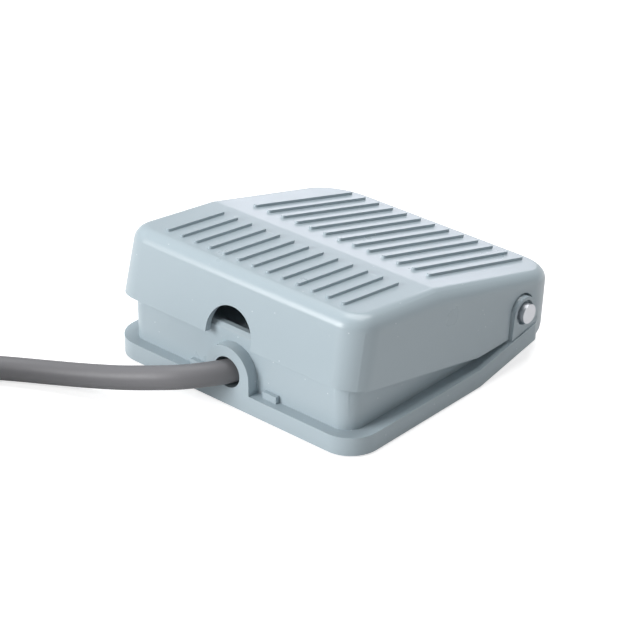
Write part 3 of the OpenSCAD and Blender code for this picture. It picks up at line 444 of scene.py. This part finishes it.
bmesh.ops.translate(body, verts=head["verts"], vec=(0.0366, 0.009, 0))
bmesh.ops.bevel(body, geom=list({e for v in head["verts"] for e in v.link_edges}), offset=0.0004,
                offset_type="OFFSET", segments=2, profile=0.5, affect="EDGES", material=-1)
bmesh.ops.transform(body, verts=body.verts, matrix=Matrix.Translation((coil_x / 1000, coil_y / 1000, 0))
                    @ Matrix.Rotation(math.radians(tie_deg), 4, "Z") @ Matrix.Rotation(math.pi / 2, 4, "X"))
tie_mesh = bpy.data.meshes.new("coil_strap")
body.to_mesh(tie_mesh)
body.free()
tie_mesh.materials.append(soft_finish["nylon_black"])
tie = bpy.data.objects.new("coil_strap", tie_mesh)
bpy.context.scene.collection.objects.link(tie)
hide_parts("coil_tie")
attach(tie, "base")

# ---------------------------------------------------------------- bare core ends
# Where the jacket stops, inside the coil, three cores fan out on the floor. Each ends in a
# short bundle of seven twisted copper strands.
copper = bpy.data.materials.new("bare_copper")
copper.use_nodes = True
nodes = copper.node_tree.nodes
links = copper.node_tree.links
shader = nodes["Principled BSDF"]
shader.inputs["Base Color"].default_value = (0.72, 0.33, 0.17, 1)
shader.inputs["Metallic"].default_value = 1
place = nodes.new("ShaderNodeTexCoord")
tarnish = nodes.new("ShaderNodeTexNoise")
tarnish.inputs["Scale"].default_value = 700
tarnish.inputs["Detail"].default_value = 4
links.new(place.outputs["Object"], tarnish.inputs["Vector"])
gloss = nodes.new("ShaderNodeMapRange")
gloss.inputs["To Min"].default_value = 0.22
gloss.inputs["To Max"].default_value = 0.42
links.new(tarnish.outputs["Fac"], gloss.inputs["Value"])
links.new(gloss.outputs["Result"], shader.inputs["Roughness"])
end_a = math.radians(coil_start)
along = Vector((-math.sin(end_a), math.cos(end_a), 0))
inwards = Vector((-math.cos(end_a), -math.sin(end_a), 0))
for shade, lift, side, bend in (("core_brown", -1.95, -1.15, 19), ("core_blue", -1.95, 1.15, 13.5),
                                ("core_black", 1.0, 0, 16)):
    centre = []
    for i in range(53):
        run = 0.05 + 25.95 * i / 52
        turn = run / bend
        sink = 1.45 * (1 - math.cos(min(math.pi, run / 5.73))) if lift > 0 else 0
        centre.append(Vector(route[-1]) + along * (bend * math.sin(turn))
                      + inwards * (side + bend * (1 - math.cos(turn))) + Vector((0, 0, lift - sink)))
    insulation = bpy.data.curves.new(shade + "_end", "CURVE")
    insulation.dimensions = "3D"
    insulation.bevel_depth = 0.00099
    insulation.bevel_resolution = 6
    insulation.use_fill_caps = True
    spline = insulation.splines.new("POLY")
    spline.points.add(39)
    for point, p in zip(spline.points, centre):
        point.co = (p.x / 1000, p.y / 1000, p.z / 1000, 1)
    insulation.materials.append(soft_finish[shade])
    strands = bpy.data.curves.new(shade + "_strands", "CURVE")
    strands.dimensions = "3D"
    strands.bevel_depth = 0.00016
    strands.bevel_resolution = 3
    strands.use_fill_caps = True
    for k in range(7):
        spline = strands.splines.new("POLY")
        spline.points.add(12)
        for j, point in enumerate(spline.points):
            twist = math.radians(60 * k + 22 * j)
            r = 0.33 if k < 6 else 0
            p = centre[40 + j - 1] + Vector((0, 0, math.sin(twist) * r))
            heading = (centre[40 + j - 1] - centre[40 + j - 2]).normalized()
            p += heading.cross(Vector((0, 0, 1))) * (math.cos(twist) * r)
            point.co = (p.x / 1000, p.y / 1000, p.z / 1000, 1)
    strands.materials.append(copper)
    for curve, node, slot in ((insulation, "core_ends", shade), (strands, "core_strands", "bare_copper")):
        piece = bpy.data.objects.new(curve.name, curve)
        bpy.context.scene.collection.objects.link(piece)
        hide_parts(node)
        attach(piece, "base")

# ---------------------------------------------------------------- floor and light
# A plain white sweep under soft light from the front left.
bpy.ops.mesh.primitive_plane_add(size=8, location=(0, 0, -0.0001))
floor = bpy.context.object
floor.name = "floor"
paper = bpy.data.materials.new("paper")
paper.use_nodes = True
nodes = paper.node_tree.nodes
links = paper.node_tree.links
nodes["Principled BSDF"].inputs["Base Color"].default_value = (0.62, 0.62, 0.62, 1)
nodes["Principled BSDF"].inputs["Roughness"].default_value = 0.8
rays = nodes.new("ShaderNodeLightPath")
mirrored = nodes.new("ShaderNodeMath")
mirrored.operation = "MULTIPLY"
mirrored.inputs[1].default_value = 0.3
links.new(rays.outputs["Is Glossy Ray"], mirrored.inputs[0])
lift = nodes.new("ShaderNodeMath")
lift.operation = "MULTIPLY_ADD"
lift.inputs[1].default_value = 0.72
links.new(rays.outputs["Is Camera Ray"], lift.inputs[0])
links.new(mirrored.outputs["Value"], lift.inputs[2])
nodes["Principled BSDF"].inputs["Emission Color"].default_value = (1, 1, 1, 1)
links.new(lift.outputs["Value"], nodes["Principled BSDF"].inputs["Emission Strength"])
floor.data.materials.append(paper)

world = bpy.data.worlds.new("studio")
bpy.context.scene.world = world
world.use_nodes = True
nodes = world.node_tree.nodes
links = world.node_tree.links
nodes["Background"].inputs["Color"].default_value = (1, 1, 1, 1)
rays = nodes.new("ShaderNodeLightPath")
level = nodes.new("ShaderNodeMapRange")
level.inputs["To Min"].default_value = 0.22
level.inputs["To Max"].default_value = 1.1
links.new(rays.outputs["Is Camera Ray"], level.inputs["Value"])
links.new(level.outputs["Result"], nodes["Background"].inputs["Strength"])

for name, where, size, power, colour in (
    ("key", (-0.45, -1.0, 0.50), 0.6, 13.0, (1, 1, 1)),
    ("fill", (0.9, -0.5, 0.7), 0.9, 0.6, (1, 1, 1)),
    ("top", (-0.15, 0.35, 1.15), 0.9, 11.8, (1, 1, 1)),
    ("back", (-0.9, 1.25, 0.22), 0.4, 1.2, (0.92, 0.9, 1.0)),
):
    lamp = bpy.data.lights.new(name, "AREA")
    lamp.size = size
    lamp.energy = power
    lamp_object = bpy.data.objects.new(name, lamp)
    bpy.context.scene.collection.objects.link(lamp_object)
    lamp_object.location = where
    lamp.color = colour
    aim = Vector((0, 0, 0.015)) - Vector(where)
    lamp_object.rotation_euler = aim.to_track_quat("-Z", "Y").to_euler()
bpy.context.scene.view_settings.view_transform = "Standard"
